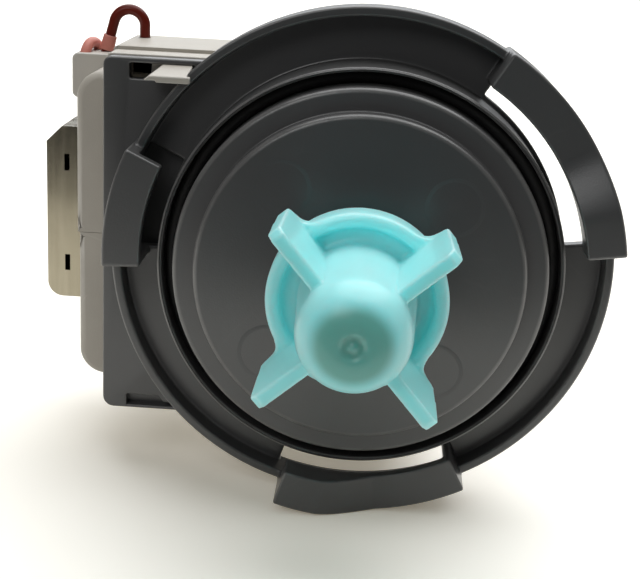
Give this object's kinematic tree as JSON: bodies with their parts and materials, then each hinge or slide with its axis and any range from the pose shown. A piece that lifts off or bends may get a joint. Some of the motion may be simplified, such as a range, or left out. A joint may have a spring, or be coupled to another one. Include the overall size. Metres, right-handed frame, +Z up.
{
  "type": "washer drain pump",
  "caption": "Washing machine drain pump: round bayonet flange with keyed hooks, open paddle impeller on a free-play coupling and a synchronous motor with a U-shaped core.",
  "frame": {"origin": "on the shaft axis, in the plane of the flange rim's front face, inside the spigot", "axes": "-Y along the shaft towards the impeller, +Z up with the coils on the -X side"},
  "size_m": [0.1056, 0.1018, 0.0886],
  "materials": {
    "dark_plastic": "satin moulded",
    "aqua_plastic": "satin, slightly translucent",
    "cream_plastic": "matte moulded",
    "grey_plastic": "matte moulded",
    "natural_plastic": "matte moulded",
    "black_rubber": "matte",
    "core_steel": "bare laminations",
    "steel": "ground",
    "sintered_bronze": "porous",
    "copper_wire": "enamelled",
    "tinned_brass": "tinned",
    "ferrite": "ground",
    "dark_red_lead": "soft insulation",
    "salmon_lead": "soft insulation"
  },
  "bodies": {
    "housing": {"pump_flange": "dark_plastic", "front_cover": "dark_plastic", "spigot_seal": "black_rubber", "shaft_seal": "black_rubber", "bearing_holder": "natural_plastic", "front_bearing": "sintered_bronze", "front_cushion": "black_rubber", "rear_bearing": "sintered_bronze", "rear_cushion": "black_rubber", "stator_core": "core_steel", "upper_bobbin": "natural_plastic", "lower_bobbin": "natural_plastic", "upper_winding": "copper_wire", "lower_winding": "copper_wire", "upper_coil_cover": "cream_plastic", "lower_coil_cover": "cream_plastic", "stator_frame": "cream_plastic", "stator_back": "cream_plastic", "terminal_box": "grey_plastic", "spade_terminals": "tinned_brass", "thermal_cutoff": "natural_plastic", "lead_loop": "dark_red_lead", "short_lead": "salmon_lead"},
    "rotor": {"rotor_shaft": "steel", "rotor_magnet": "ferrite", "magnet_core": "natural_plastic", "thrust_washers": "natural_plastic", "drive_dog": "natural_plastic", "dog_bumpers": "black_rubber"},
    "impeller": {"impeller": "aqua_plastic", "coupling_cap": "natural_plastic"}
  },
  "joints": [
    {"name": "rotor_spin", "type": "hinge", "parent": "housing", "child": "rotor", "pos_m": [0, 0, 0], "axis": [0, -1, 0], "continuous": true},
    {"name": "impeller_play", "type": "hinge", "parent": "rotor", "child": "impeller", "pos_m": [0, 0, 0], "axis": [0, -1, 0], "range_deg": [-112, 112]}
  ]
}
